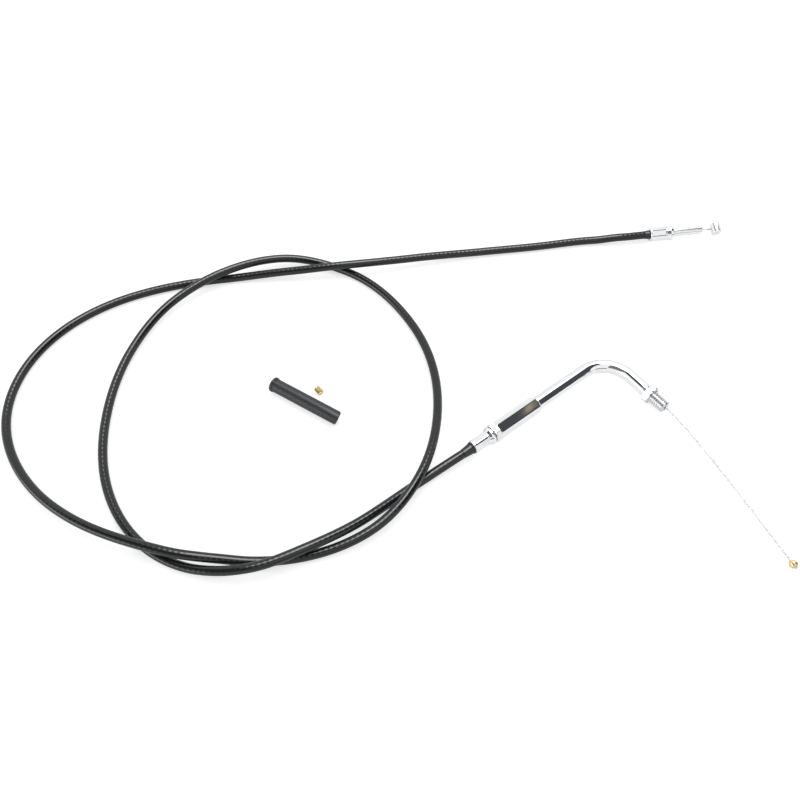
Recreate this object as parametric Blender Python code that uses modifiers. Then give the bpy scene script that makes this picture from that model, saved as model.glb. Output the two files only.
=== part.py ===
"""Motorcycle throttle cable with an in-line adjuster, a bent tube and two loose pieces.

Units are metres, +Z is up and the cable lies on the floor at Z = 0.
+X runs to the right of the photo and +Y to its top.
"""
import math

import bmesh
import bpy
import numpy as np
from mathutils import Matrix, Vector

MM = 0.001

# Clearances
FIT = 0.3 * MM             # radial or end clearance between neighbouring pieces
WIRE_ROOM = 0.4 * MM       # radial room round the wire in the stem and the screw
BOW_ROOM = 1.2 * MM        # radial room in the threaded fitting, where the bowed bare wire slides in
WIRE_LEAN = 0.7 * MM       # the bare wire lies this far off the fitting's axis, against the bore
FLOOR_GAP = 0.05 * MM      # the jacket lies this far above Z = 0
CROSSING_GAP = 1.2 * MM    # added height where the jacket passes over itself

# Plan points below are measured on the floor from the middle of the photo; this point becomes the origin
ORIGIN = (72.67 * MM, 52.85 * MM)

# Cable layers, from the wire outwards
WIRE_DIAMETER = 1.2 * MM
LINER_WALL = 0.25 * MM
CONDUIT_WALL = 0.45 * MM
JACKET_WALL = 0.45 * MM

# Carburettor end, lengths measured along its axis from the ferrule mouth
CARB_MOUTH = (173.2 * MM - ORIGIN[0], 138.1 * MM - ORIGIN[1])
CARB_HEADING = math.radians(7.5)
CARB_INSERT = 10.2 * MM
CARB_CRIMP_WALL = 1.6 * MM
CARB_SHOULDER_STEP = 0.45 * MM
CARB_FERRULE_LENGTH = 15.7 * MM
CARB_FRONT_WALL = 2.3 * MM
CARB_FLARE_LENGTH = 2.9 * MM
CARB_SEAL_LENGTH = 2.4 * MM
CARB_SEAL_WALL = 0.4 * MM
STEM_WALL = 1.8 * MM
STEM_REACH = 20.9 * MM     # stem length ahead of the shoulder
NIPPLE_GAP = 7.1 * MM      # bare wire between the stem and the nipple
NIPPLE_DIAMETER = 7.0 * MM
NIPPLE_LENGTH = 7.2 * MM
NIPPLE_TILT = math.radians(-20)
CARB_WIRE_STUB = 8.0 * MM  # moving wire hidden behind the ferrule mouth
CARB_WIRE_BACK = 5.0 * MM  # its inward travel

# Grip end, lengths measured along the adjuster from the ferrule mouth
GRIP_MOUTH = (42.8 * MM - ORIGIN[0], -36.1 * MM - ORIGIN[1])
GRIP_HEADING = math.radians(38)
GRIP_INSERT = 7.6 * MM
GRIP_CRIMP_WALL = 1.1 * MM
GRIP_FLARE_STEP = 1.35 * MM
GRIP_FLARE_LENGTH = 3.2 * MM
GRIP_RIM_LENGTH = 1.6 * MM
GRIP_FERRULE_LENGTH = 12.0 * MM
GRIP_FRONT_WALL = 1.3 * MM
GRIP_SEAL_LENGTH = 7.0 * MM
GRIP_SEAL_RIM = 0.65 * MM
SCREW_DIAMETER = 5.0 * MM
SCREW_TRAVEL = 11.2 * MM   # fourteen turns of 0.8 mm
SCREW_HOLD = 6.4 * MM      # thread left in the sleeve when it is screwed right out
NUT_ACROSS_FLATS = 11.0 * MM
LOCK_NUT_LENGTH = 3.9 * MM
SLEEVE_ACROSS_FLATS = 9.525 * MM
SLEEVE_TURN = math.radians(-8)
SLEEVE_LENGTH = 30.4 * MM
SLEEVE_CHAMFER = 0.5 * MM
SLEEVE_LIP = 1.4 * MM
NECK_DIAMETER = 5.2 * MM
NECK_FLANGE_STEP = 0.8 * MM
NECK_FLANGE_LENGTH = 2.0 * MM
NECK_PLUG_LENGTH = 6.0 * MM

# Bent tube and threaded fitting, lengths measured from the corner of the two straight legs
CORNER_REACH = 107.5 * MM  # from the ferrule mouth to that corner
ELBOW_TURN = math.radians(92.4)
ELBOW_RADIUS = 19.5 * MM
TUBE_WALL = 0.8 * MM
TUBE_SECOND_LEG = 33.7 * MM
SPIGOT_LENGTH = 6.0 * MM
SPIGOT_WALL = 1.15 * MM
THREAD_DIAMETER = 7.8 * MM
THREAD_DEPTH = 0.6 * MM
THREAD_CRESTS = 10
THREAD_LENGTH = 14.9 * MM
JAM_NUT_LENGTH = 4.3 * MM

# Bare wire and ball
GRIP_WIRE_LENGTH = 109.6 * MM   # from the fitting to the middle of the ball
GRIP_WIRE_STUB = 8.0 * MM
GRIP_WIRE_BOW = math.radians(10.8)
GRIP_WIRE_BOW_LENGTH = 18.2 * MM
BALL_DIAMETER = 4.6 * MM

# Loose pieces
BOOT_START = (-76.2 * MM - ORIGIN[0], 8.5 * MM - ORIGIN[1])
BOOT_HEADING = math.radians(-32.2)
BOOT_LENGTH = 47.0 * MM
BOOT_ROOM = 0.5 * MM
BOOT_WALL = 1.05 * MM
BOOT_LIP_STEP = 0.35 * MM
BOOT_LIP_LENGTH = 1.4 * MM
SPARE_MIDDLE = (-48.8 * MM - ORIGIN[0], 5.6 * MM - ORIGIN[1])
SPARE_HEADING = math.radians(-48.4)
SPARE_DIAMETER = 4.0 * MM
SPARE_LENGTH = 4.6 * MM
SPARE_SLOT = 1.0 * MM

# Jacket route between the two ends: x and y in mm, and the level (0 on the floor, 1 on top of the other run)
ROUTE = (
    (133.5, 134.5, 0.05), (99.0, 129.5, 0.00), (56.5, 123.0, 0.10), (9.5, 113.5, 0.60),
    (-35.0, 104.5, 1.00), (-75.0, 101.5, 0.50), (-118.0, 97.5, 0.00), (-156.5, 89.0, 0.00),
    (-191.0, 73.0, 0.00), (-216.5, 49.0, 0.00), (-230.5, 18.5, 0.00), (-230.5, -17.0, 0.00),
    (-212.5, -52.5, 0.10), (-174.5, -84.0, 0.65), (-129.5, -101.5, 1.00), (-113.0, -105.0, 0.90),
    (-95.5, -106.0, 0.50), (-76.0, -106.5, 0.10), (-55.5, -104.5, 0.00), (-13.5, -88.5, 0.55),
    (10.5, -59.0, 1.05), (21.5, -18.0, 0.70), (18.5, 29.0, 0.20), (-1.0, 72.0, 0.00),
    (-35.5, 104.5, 0.00), (-80.0, 113.0, 0.60), (-117.0, 97.5, 1.00), (-146.5, 74.5, 0.55),
    (-167.0, 36.0, 0.10), (-172.5, -14.0, 0.00), (-161.0, -64.5, 0.00), (-130.5, -101.0, 0.00),
    (-112.5, -109.5, 0.10), (-95.5, -113.0, 0.50), (-77.5, -112.5, 0.90), (-55.0, -104.5, 1.00),
    (-18.5, -82.5, 0.45), (9.5, -59.5, 0.00),
)
ROUTE_SAMPLES = 80
STEPS = 20                 # sides of the turned pieces

# Radii that follow from the values above
wire_r = WIRE_DIAMETER / 2
liner_bore_r = wire_r + FIT
liner_r = liner_bore_r + LINER_WALL
conduit_bore_r = liner_r + FIT
conduit_r = conduit_bore_r + CONDUIT_WALL
jacket_bore_r = conduit_r + FIT
jacket_r = jacket_bore_r + JACKET_WALL
ferrule_bore_r = jacket_r + FIT
guide_bore_r = wire_r + WIRE_ROOM
carb_crimp_r = ferrule_bore_r + CARB_CRIMP_WALL
carb_shoulder_r = carb_crimp_r + CARB_SHOULDER_STEP
stem_r = guide_bore_r + STEM_WALL
grip_crimp_r = ferrule_bore_r + GRIP_CRIMP_WALL
grip_flare_r = grip_crimp_r + GRIP_FLARE_STEP
screw_r = SCREW_DIAMETER / 2
screw_hole_r = screw_r + FIT
neck_r = NECK_DIAMETER / 2
neck_flange_r = neck_r + NECK_FLANGE_STEP
fitting_bore_r = wire_r + BOW_ROOM
spigot_r = fitting_bore_r + SPIGOT_WALL
tube_bore_r = spigot_r + FIT
bend_bore_r = wire_r + WIRE_LEAN + FIT
tube_r = tube_bore_r + TUBE_WALL
thread_r = THREAD_DIAMETER / 2
ball_r = BALL_DIAMETER / 2
boot_bore_r = jacket_r + BOOT_ROOM
boot_r = boot_bore_r + BOOT_WALL
boot_lip_r = boot_r + BOOT_LIP_STEP
spare_r = SPARE_DIAMETER / 2

# Stations along the two ends that follow from the values above
carb_height = carb_shoulder_r
grip_height = NUT_ACROSS_FLATS / 2
nut_turn = math.radians(30)
stem_flange_start = CARB_INSERT + FIT
stem_flange_end = CARB_FERRULE_LENGTH - CARB_FRONT_WALL - FIT
stem_end = CARB_FERRULE_LENGTH + STEM_REACH
nipple_station = stem_end + NIPPLE_GAP + NIPPLE_DIAMETER / 2
screw_flange_end = GRIP_FERRULE_LENGTH - GRIP_FRONT_WALL - FIT
lock_nut_start = GRIP_FERRULE_LENGTH + FIT
sleeve_start = lock_nut_start + LOCK_NUT_LENGTH + FIT
screw_end = sleeve_start + SCREW_TRAVEL + SCREW_HOLD
sleeve_end = sleeve_start + SLEEVE_LENGTH
flange_end = sleeve_end - SLEEVE_LIP - FIT
flange_start = flange_end - NECK_FLANGE_LENGTH
pocket_start = flange_start - 2 * FIT
tube_start = sleeve_end + FIT
plug_end = tube_start + NECK_PLUG_LENGTH
corner_cut = ELBOW_RADIUS * math.tan(ELBOW_TURN / 2)
bend_start = CORNER_REACH - corner_cut
spigot_start = TUBE_SECOND_LEG + FIT - SPIGOT_LENGTH
thread_start = TUBE_SECOND_LEG + FIT
thread_end = thread_start + THREAD_LENGTH
jam_nut_start = TUBE_SECOND_LEG + 2 * FIT

# Start from an empty file
for old in list(bpy.data.objects):
    bpy.data.objects.remove(old)

parts = bpy.data.collections.new("throttle_cable")
cutters = bpy.data.collections.new("cutters")
bpy.context.scene.collection.children.link(parts)
bpy.context.scene.collection.children.link(cutters)


def material(name, colour, metallic, roughness):
    mat = bpy.data.materials.new(name)
    mat.use_nodes = True
    shader = mat.node_tree.nodes["Principled BSDF"]
    shader.inputs["Base Color"].default_value = (*colour, 1.0)
    shader.inputs["Metallic"].default_value = metallic
    shader.inputs["Roughness"].default_value = roughness
    return mat


def frame(point, heading):
    """Local +Z along a level heading, local +X to its right, local +Y down."""
    c = math.cos(heading)
    s = math.sin(heading)
    return Matrix(((s, 0, c, point[0]), (-c, 0, s, point[1]), (0, -1, 0, point[2]), (0, 0, 0, 1)))


def axis_empty(name, matrix):
    empty = bpy.data.objects.new(name, None)
    parts.objects.link(empty)
    empty.matrix_world = matrix
    bpy.context.view_layer.update()
    return empty


def add_part(name, data, parent, mat):
    part = bpy.data.objects.new(name, data)
    parts.objects.link(part)
    part.parent = parent
    part.data.materials.append(mat)
    return part


def add_cutter(name, data, parent):
    cutter = bpy.data.objects.new(name, data)
    cutters.objects.link(cutter)
    cutter.parent = parent
    cutter.hide_render = True
    cutter.display_type = "WIRE"
    return cutter


def boolean(part, cutter, operation):
    mod = part.modifiers.new(cutter.name, "BOOLEAN")
    mod.operation = operation
    mod.solver = "EXACT"
    mod.object = cutter


def spin(part, steps):
    mod = part.modifiers.new("Spin", "SCREW")
    mod.axis = "Z"
    mod.angle = 2 * math.pi
    mod.steps = steps
    mod.render_steps = steps
    mod.use_merge_vertices = True
    mod.merge_threshold = 0.00001
    mod.use_smooth_shade = True


def profile_mesh(name, outline, closed):
    """Half section as (radius, station), down the outer side first."""
    mesh = bpy.data.meshes.new(name)
    count = len(outline)
    edges = [(i, i + 1) for i in range(count - 1)]
    if closed:
        edges.append((count - 1, 0))
    mesh.from_pydata([(r, 0.0, z) for r, z in outline], edges, [])
    return mesh


def turned(name, outline, parent, mat, closed=True, steps=STEPS):
    part = add_part(name, profile_mesh(name, outline, closed), parent, mat)
    spin(part, steps)
    return part


def ring_cutter(name, outline, parent):
    cutter = add_cutter(name, profile_mesh(name, outline, True), parent)
    spin(cutter, STEPS)
    return cutter


def rod_mesh(name, radius, start, end, sides):
    mesh = bpy.data.meshes.new(name)
    bm = bmesh.new()
    place = Matrix.Translation((0, 0, (start + end) / 2))
    bmesh.ops.create_cone(
        bm, cap_ends=True, segments=sides, radius1=radius, radius2=radius, depth=end - start, matrix=place)
    bm.to_mesh(mesh)
    bm.free()
    return mesh


def box_mesh(name, low, high):
    mesh = bpy.data.meshes.new(name)
    bm = bmesh.new()
    middle = (Vector(low) + Vector(high)) / 2
    size = Vector(high) - Vector(low)
    place = Matrix.Translation(middle) @ Matrix.Diagonal((*size, 1.0))
    bmesh.ops.create_cube(bm, size=1.0, matrix=place)
    bm.to_mesh(mesh)
    bm.free()
    return mesh


def tube_curve(name, points, radius, resolution, caps):
    curve = bpy.data.curves.new(name, "CURVE")
    curve.dimensions = "3D"
    curve.bevel_depth = radius
    curve.bevel_resolution = resolution
    curve.use_fill_caps = caps
    spline = curve.splines.new("POLY")
    spline.points.add(len(points) - 1)
    for knot, point in zip(spline.points, points):
        knot.co = (*point, 1.0)
    spline.use_smooth = True
    return curve


def rod_along(name, points, radius, parent, mat):
    return add_part(name, tube_curve(name, points, radius, 2, True), parent, mat)


def tube_along(name, points, radius, bore, parent, mat, resolution=2):
    part = add_part(name, tube_curve(name, points, radius, resolution, False), parent, mat)
    wall = part.modifiers.new("Wall", "SOLIDIFY")
    wall.thickness = radius - bore
    wall.offset = -1.0
    return part


def hex_piece(name, across_flats, turn, outline, parent, mat):
    """Hexagonal bar kept where the turned outline is, with one corner up when turn is zero."""
    low = min(z for r, z in outline)
    high = max(z for r, z in outline)
    part = add_part(name, rod_mesh(name, across_flats / math.sqrt(3), low, high, 6), parent, mat)
    part.data.transform(Matrix.Rotation(turn, 4, "Z"))
    boolean(part, ring_cutter(name + "_shape", outline, parent), "INTERSECT")
    return part


def hex_nut(name, start, length, bore, parent):
    inner = NUT_ACROSS_FLATS / 2
    outer = NUT_ACROSS_FLATS / math.sqrt(3) * 1.03
    rise = (outer - inner) * math.tan(math.radians(30))
    end = start + length
    outline = (
        (inner, end), (outer, end - rise), (outer, start + rise), (inner, start), (bore, start), (bore, end))
    return hex_piece(name, NUT_ACROSS_FLATS, nut_turn, outline, parent, nut_steel)


def natural_spline(knots, stations, where):
    """Smooth plan curve through the knots."""
    count = len(knots)
    step = np.diff(stations)
    left = np.eye(count)
    right = np.zeros_like(knots)
    for i in range(1, count - 1):
        left[i, i - 1] = step[i - 1]
        left[i, i] = 2 * (step[i - 1] + step[i])
        left[i, i + 1] = step[i]
        right[i] = 6 * ((knots[i + 1] - knots[i]) / step[i] - (knots[i] - knots[i - 1]) / step[i - 1])
    bend = np.linalg.solve(left, right)
    i = np.clip(np.searchsorted(stations, where) - 1, 0, count - 2)
    h = step[i][:, None]
    a = (stations[i + 1] - where)[:, None] / h
    b = (where - stations[i])[:, None] / h
    return a * knots[i] + b * knots[i + 1] + ((a**3 - a) * bend[i] + (b**3 - b) * bend[i + 1]) * h * h / 6


def level_curve(heights, stations, where):
    """Smooth heights that never pass beyond the given ones."""
    step = np.diff(stations)
    rise = np.diff(heights) / step
    slope = np.zeros_like(heights)
    for k in range(1, len(heights) - 1):
        if rise[k - 1] * rise[k] > 0:
            slope[k] = 2 * rise[k - 1] * rise[k] / (rise[k - 1] + rise[k])
    i = np.clip(np.searchsorted(stations, where) - 1, 0, len(heights) - 2)
    h = step[i]
    a = (where - stations[i]) / h
    start = (1 + 2 * a) * (1 - a)**2 * heights[i] + a * (1 - a)**2 * h * slope[i]
    end = a * a * (3 - 2 * a) * heights[i + 1] + a * a * (a - 1) * h * slope[i + 1]
    return start + end


def end_point(mouth, heading, height, station):
    return (mouth[0] + station * math.cos(heading), mouth[1] + station * math.sin(heading), height)


def jacket_route():
    carb = [end_point(CARB_MOUTH, CARB_HEADING, carb_height, u) for u in (CARB_INSERT, -7 * MM, -21 * MM)]
    grip = [end_point(GRIP_MOUTH, GRIP_HEADING, grip_height, u) for u in (-8 * MM, GRIP_INSERT)]
    lay = jacket_r + FLOOR_GAP
    lift = 2 * jacket_r + CROSSING_GAP
    middle = [(x * MM - ORIGIN[0], y * MM - ORIGIN[1], lay + level * lift) for x, y, level in ROUTE]
    knots = np.array(carb + middle + grip)
    plan = knots[:, :2]
    stations = np.concatenate(([0.0], np.cumsum(np.linalg.norm(np.diff(plan, axis=0), axis=1))))
    where = np.linspace(0.0, stations[-1], 4000)
    path = np.column_stack((natural_spline(plan, stations, where), level_curve(knots[:, 2], stations, where)))
    along = np.concatenate(([0.0], np.cumsum(np.linalg.norm(np.diff(path, axis=0), axis=1))))
    even = np.linspace(0.0, along[-1], ROUTE_SAMPLES)
    return np.column_stack([np.interp(even, along, path[:, k]) for k in range(3)]), along[-1]


def least_gap(points):
    """Least distance between two runs of the jacket, surface to surface."""
    count = len(points)
    where = np.linspace(0, count - 1, 20 * (count - 1) + 1)
    fine = np.column_stack([np.interp(where, np.arange(count), points[:, k]) for k in range(3)])
    along = np.concatenate(([0.0], np.cumsum(np.linalg.norm(np.diff(fine, axis=0), axis=1))))
    least = 1.0
    for k in range(len(fine)):
        apart = np.abs(along - along[k]) > 0.06
        if apart.any():
            least = min(least, float(np.linalg.norm(fine[apart] - fine[k], axis=1).min()))
    return least - 2 * jacket_r


black_plastic = material("black_plastic_jacket", (0.012, 0.012, 0.013), 0.0, 0.3)
conduit_steel = material("wound_steel", (0.45, 0.45, 0.46), 1.0, 0.4)
white_liner = material("liner_plastic", (0.75, 0.75, 0.72), 0.0, 0.45)
wire_steel = material("wire_steel", (0.55, 0.55, 0.56), 1.0, 0.4)
bright_chrome = material("chrome_plate", (0.75, 0.76, 0.78), 1.0, 0.08)
nut_steel = material("plated_steel", (0.66, 0.67, 0.69), 1.0, 0.18)
black_rubber = material("black_rubber", (0.018, 0.018, 0.02), 0.0, 0.6)
yellow_brass = material("brass", (0.62, 0.42, 0.16), 1.0, 0.3)

carb_end = axis_empty("carb_end_axis", frame((*CARB_MOUTH, carb_height), CARB_HEADING))
grip_end = axis_empty("grip_end_axis", frame((*GRIP_MOUTH, grip_height), GRIP_HEADING))
corner = end_point(GRIP_MOUTH, GRIP_HEADING, grip_height, CORNER_REACH)
leg_heading = GRIP_HEADING - ELBOW_TURN
second_leg = axis_empty("second_leg_axis", frame(corner, leg_heading))

# Cable housing, drawn in world coordinates
route, route_length = jacket_route()
housing = axis_empty("housing_axis", Matrix.Identity(4))
tube_along("outer_jacket", route, jacket_r, jacket_bore_r, housing, black_plastic)
tube_along("steel_conduit", route, conduit_r, conduit_bore_r, housing, conduit_steel)
tube_along("conduit_liner", route, liner_r, liner_bore_r, housing, white_liner)

wire_back = -(CARB_WIRE_STUB + CARB_WIRE_BACK + 1 * MM)
wire_tip = bend_start - 2 * FIT
wire_start = end_point(CARB_MOUTH, CARB_HEADING, carb_height, wire_back)
wire_stop = end_point(GRIP_MOUTH, GRIP_HEADING, grip_height, wire_tip)
carb_side = np.array((math.cos(CARB_HEADING), math.sin(CARB_HEADING)))
inside = [p for p in route if (p[:2] - np.array(wire_start[:2])) @ carb_side < -2 * MM]
rod_along("inner_wire", [wire_start, *inside, wire_stop], wire_r, housing, wire_steel)

# Carburettor end
turned("carb_end_seal", (
    (ferrule_bore_r + CARB_SEAL_WALL, -FIT),
    (ferrule_bore_r + CARB_SEAL_WALL * 0.6, -FIT - CARB_SEAL_LENGTH),
    (ferrule_bore_r, -FIT - CARB_SEAL_LENGTH), (ferrule_bore_r, -FIT)), carb_end, black_rubber)

flare_top = CARB_FERRULE_LENGTH - CARB_FRONT_WALL / 2
stem_hole_r = stem_r + FIT
turned("carb_ferrule", (
    (carb_shoulder_r - 0.7 * MM, CARB_FERRULE_LENGTH), (carb_shoulder_r - 0.2 * MM, flare_top + 0.6 * MM),
    (carb_shoulder_r, flare_top - 0.4 * MM), (carb_shoulder_r - 0.15 * MM, flare_top - 1.4 * MM),
    (carb_crimp_r, flare_top - 0.8 * MM - CARB_FLARE_LENGTH), (carb_crimp_r, 0.5 * MM),
    (carb_crimp_r - 0.15 * MM, 0.0), (ferrule_bore_r, 0.0),
    (ferrule_bore_r, CARB_FERRULE_LENGTH - CARB_FRONT_WALL),
    (stem_hole_r, CARB_FERRULE_LENGTH - CARB_FRONT_WALL), (stem_hole_r, CARB_FERRULE_LENGTH)),
    carb_end, bright_chrome)

turned("carb_stem", (
    (stem_r - 0.3 * MM, stem_end), (stem_r, stem_end - 0.3 * MM), (stem_r, stem_flange_end),
    (jacket_r, stem_flange_end), (jacket_r, stem_flange_start), (guide_bore_r, stem_flange_start),
    (guide_bore_r, stem_end)), carb_end, bright_chrome)

carb_points = [(0, 0, -CARB_WIRE_STUB), (0, 0, nipple_station + NIPPLE_DIAMETER / 2 - FIT)]
rod_along("carb_wire", carb_points, wire_r, carb_end, wire_steel)

# The barrel lies across the wire, its near end tilted down; local -X is the far side, local +Y is down
across = Matrix.Translation((0, 0, nipple_station)) @ Matrix.Rotation(-NIPPLE_TILT, 4, "Z")
across = across @ Matrix.Rotation(math.pi / 2, 4, "Y")
nipple_axis = axis_empty("nipple_axis", carb_end.matrix_world @ across)
barrel_r = NIPPLE_DIAMETER / 2
half = NIPPLE_LENGTH / 2
nipple = turned("carb_nipple", (
    (0.0, half), (barrel_r - 0.4 * MM, half), (barrel_r, half - 0.4 * MM), (barrel_r, -half + 0.4 * MM),
    (barrel_r - 0.4 * MM, -half), (0.0, -half)), nipple_axis, bright_chrome, closed=False)
nipple_hole = add_cutter(
    "nipple_hole", rod_mesh("nipple_hole", wire_r + FIT, -2 * barrel_r, 2 * barrel_r, 12), nipple_axis)
nipple_hole.data.transform(Matrix.Rotation(math.pi / 2, 4, "Y"))
boolean(nipple, nipple_hole, "DIFFERENCE")

# Grip end: seal, ferrule, screw, lock nut, sleeve and the neck that swivels in it
seal_rim_r = ferrule_bore_r + GRIP_SEAL_RIM
turned("grip_end_seal", (
    (seal_rim_r, -FIT), (seal_rim_r, -FIT - 0.9 * MM), (seal_rim_r - 0.3 * MM, -FIT - 1.2 * MM),
    (ferrule_bore_r + 0.15 * MM, -FIT - GRIP_SEAL_LENGTH), (ferrule_bore_r, -FIT - GRIP_SEAL_LENGTH),
    (ferrule_bore_r, -FIT)), grip_end, black_rubber)

rim_start = GRIP_FERRULE_LENGTH - GRIP_RIM_LENGTH
turned("grip_ferrule", (
    (grip_flare_r - 0.3 * MM, GRIP_FERRULE_LENGTH), (grip_flare_r, GRIP_FERRULE_LENGTH - 0.4 * MM),
    (grip_flare_r, rim_start), (grip_crimp_r, GRIP_FERRULE_LENGTH - GRIP_FLARE_LENGTH),
    (grip_crimp_r, 0.4 * MM), (grip_crimp_r - 0.3 * MM, 0.0), (ferrule_bore_r, 0.0),
    (ferrule_bore_r, GRIP_FERRULE_LENGTH - GRIP_FRONT_WALL),
    (screw_hole_r, GRIP_FERRULE_LENGTH - GRIP_FRONT_WALL), (screw_hole_r, GRIP_FERRULE_LENGTH)),
    grip_end, bright_chrome)

turned("adjuster_screw", (
    (screw_r - 0.4 * MM, screw_end), (screw_r, screw_end - 0.4 * MM), (screw_r, screw_flange_end),
    (jacket_r, screw_flange_end), (jacket_r, GRIP_INSERT + FIT), (guide_bore_r, GRIP_INSERT + FIT),
    (guide_bore_r, screw_end)), grip_end, nut_steel)

hex_nut("lock_nut", lock_nut_start, LOCK_NUT_LENGTH, screw_hole_r, grip_end)

sleeve_r = SLEEVE_ACROSS_FLATS / math.sqrt(3) * 1.03
pocket_r = neck_flange_r + FIT
lip_r = neck_r + FIT
hex_piece("adjuster_sleeve", SLEEVE_ACROSS_FLATS, SLEEVE_TURN, (
    (sleeve_r - 2 * SLEEVE_CHAMFER, sleeve_end), (sleeve_r, sleeve_end - SLEEVE_CHAMFER),
    (sleeve_r, sleeve_start + 0.3 * MM), (sleeve_r - 0.6 * MM, sleeve_start), (screw_hole_r, sleeve_start),
    (screw_hole_r, pocket_start), (pocket_r, pocket_start), (pocket_r, sleeve_end - SLEEVE_LIP),
    (lip_r, sleeve_end - SLEEVE_LIP), (lip_r, sleeve_end)), grip_end, bright_chrome)

plug_r = tube_bore_r - FIT
turned("swivel_neck", (
    (plug_r, plug_end), (plug_r, tube_start), (neck_r, tube_start), (neck_r, flange_end),
    (neck_flange_r, flange_end), (neck_flange_r, flange_start), (bend_bore_r, flange_start),
    (bend_bore_r, plug_end)), grip_end, nut_steel)


def elbow_points(start, end):
    """Both legs and the bend between them, from the mouth side at start to the thread side at end."""
    points = [(0.0, 0.0, start), (0.0, 0.0, (start + bend_start) / 2)]
    for k in range(11):
        turn = ELBOW_TURN * k / 10
        side = ELBOW_RADIUS * (1 - math.cos(turn))
        points.append((side, 0.0, bend_start + ELBOW_RADIUS * math.sin(turn)))
    far = (end * math.sin(ELBOW_TURN), 0.0, CORNER_REACH + end * math.cos(ELBOW_TURN))
    points.append(far)
    return points


tube_path = elbow_points(tube_start, TUBE_SECOND_LEG)
tube_along("elbow_tube", tube_path, tube_r, tube_bore_r, grip_end, bright_chrome, resolution=6)
liner_path = elbow_points(plug_end + FIT, spigot_start - FIT)
tube_along("elbow_liner", liner_path, tube_bore_r - FIT, bend_bore_r, grip_end, white_liner)
bend_path = elbow_points(bend_start - FIT, corner_cut + FIT)
rod_along("elbow_wire", [bend_path[0], *bend_path[2:]], wire_r, grip_end, wire_steel)

# Threaded fitting: the thread is drawn as rings
thread_step = THREAD_LENGTH / THREAD_CRESTS
fitting = [(thread_r - THREAD_DEPTH, thread_end)]
for k in range(THREAD_CRESTS):
    top = thread_end - k * thread_step
    fitting.append((thread_r, top - 0.35 * thread_step))
    fitting.append((thread_r, top - 0.6 * thread_step))
    if k < THREAD_CRESTS - 1:
        fitting.append((thread_r - THREAD_DEPTH, top - thread_step))
fitting.append((thread_r, thread_start))
fitting.append((spigot_r, thread_start))
fitting.append((spigot_r, spigot_start))
fitting.append((fitting_bore_r, spigot_start))
fitting.append((fitting_bore_r, thread_end))
turned("threaded_fitting", fitting, second_leg, bright_chrome)
hex_nut("jam_nut", jam_nut_start, JAM_NUT_LENGTH, thread_r + FIT, second_leg)

# Bare wire: straight in the fitting, then a decaying bow to the right and down to the floor
drop = grip_height - ball_r
reach = GRIP_WIRE_LENGTH + ball_r
settle = GRIP_WIRE_BOW_LENGTH
fall = drop / (GRIP_WIRE_LENGTH - settle * (1 - math.exp(-GRIP_WIRE_LENGTH / settle)))
bare = [(-WIRE_LEAN, 0.0, thread_end - GRIP_WIRE_STUB), (-WIRE_LEAN, 0.0, thread_end)]
pieces = 24
run = reach / pieces
for k in range(pieces):
    level = 1 - math.exp(-(k + 0.5) * run / settle)
    x, y, z = bare[-1]
    turn = GRIP_WIRE_BOW * level
    bare.append((x + run * math.sin(turn), y + run * fall * level, z + run * math.cos(turn)))
rod_along("grip_wire", bare, wire_r, second_leg, wire_steel)

tip = Vector(bare[-1])
along = (tip - Vector(bare[-2])).normalized()
middle = tip - along * ball_r
ball_place = Matrix.Translation(middle) @ along.to_track_quat("Z", "Y").to_matrix().to_4x4()
ball_axis = axis_empty("ball_axis", second_leg.matrix_world @ ball_place)
hole_r = wire_r + FIT
rim = math.asin(hole_r / ball_r)
arc = [rim + (math.pi - 2 * rim) * k / 10 for k in range(11)]
turned("ball_end", [(ball_r * math.sin(a), ball_r * math.cos(a)) for a in arc], ball_axis, yellow_brass, steps=16)

# Loose rubber boot and loose brass ferrule
boot_axis = axis_empty("boot_axis", frame((*BOOT_START, boot_lip_r), BOOT_HEADING))
turned("adjuster_boot", (
    (boot_r - 0.4 * MM, BOOT_LENGTH), (boot_r, BOOT_LENGTH - 0.5 * MM), (boot_r, BOOT_LIP_LENGTH + 0.3 * MM),
    (boot_lip_r, BOOT_LIP_LENGTH), (boot_lip_r, 0.2 * MM), (boot_lip_r - 0.2 * MM, 0.0), (boot_bore_r, 0.0),
    (boot_bore_r, BOOT_LENGTH)), boot_axis, black_rubber)

spare_axis = axis_empty("spare_axis", frame((*SPARE_MIDDLE, spare_r), SPARE_HEADING))
half = SPARE_LENGTH / 2
edge = 0.25 * MM
spare = turned("spare_ferrule", (
    (0.0, half), (spare_r - edge, half), (spare_r, half - edge), (spare_r, -half + edge),
    (spare_r - edge, -half), (0.0, -half)), spare_axis, yellow_brass, closed=False)
slot = add_cutter(
    "spare_slot", box_mesh("spare_slot", (-SPARE_SLOT / 2, -2 * spare_r, -SPARE_LENGTH),
                           (SPARE_SLOT / 2, -0.1 * spare_r, SPARE_LENGTH)), spare_axis)
boolean(spare, slot, "DIFFERENCE")

print("jacket length %.1f mm" % (route_length / MM))
print("least gap of the jacket to itself %.2f mm" % (least_gap(route) / MM))
print("ball middle %s" % [round(v / MM, 2) for v in ball_axis.matrix_world.translation])
print("thread end %s" % [round(v / MM, 2) for v in end_point(corner[:2], leg_heading, grip_height, thread_end)])
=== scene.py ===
"""Looks of the throttle cable: camera, cords, detailed pieces, materials, floor and light.

Metres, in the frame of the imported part: +X to the right of the photo, +Y to its top, +Z up.
Outlines are half sections, each corner given as (radius, station, rounding) in mm.
"""
import math

import bmesh
import bpy
import numpy as np
from mathutils import Matrix, Vector


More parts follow.
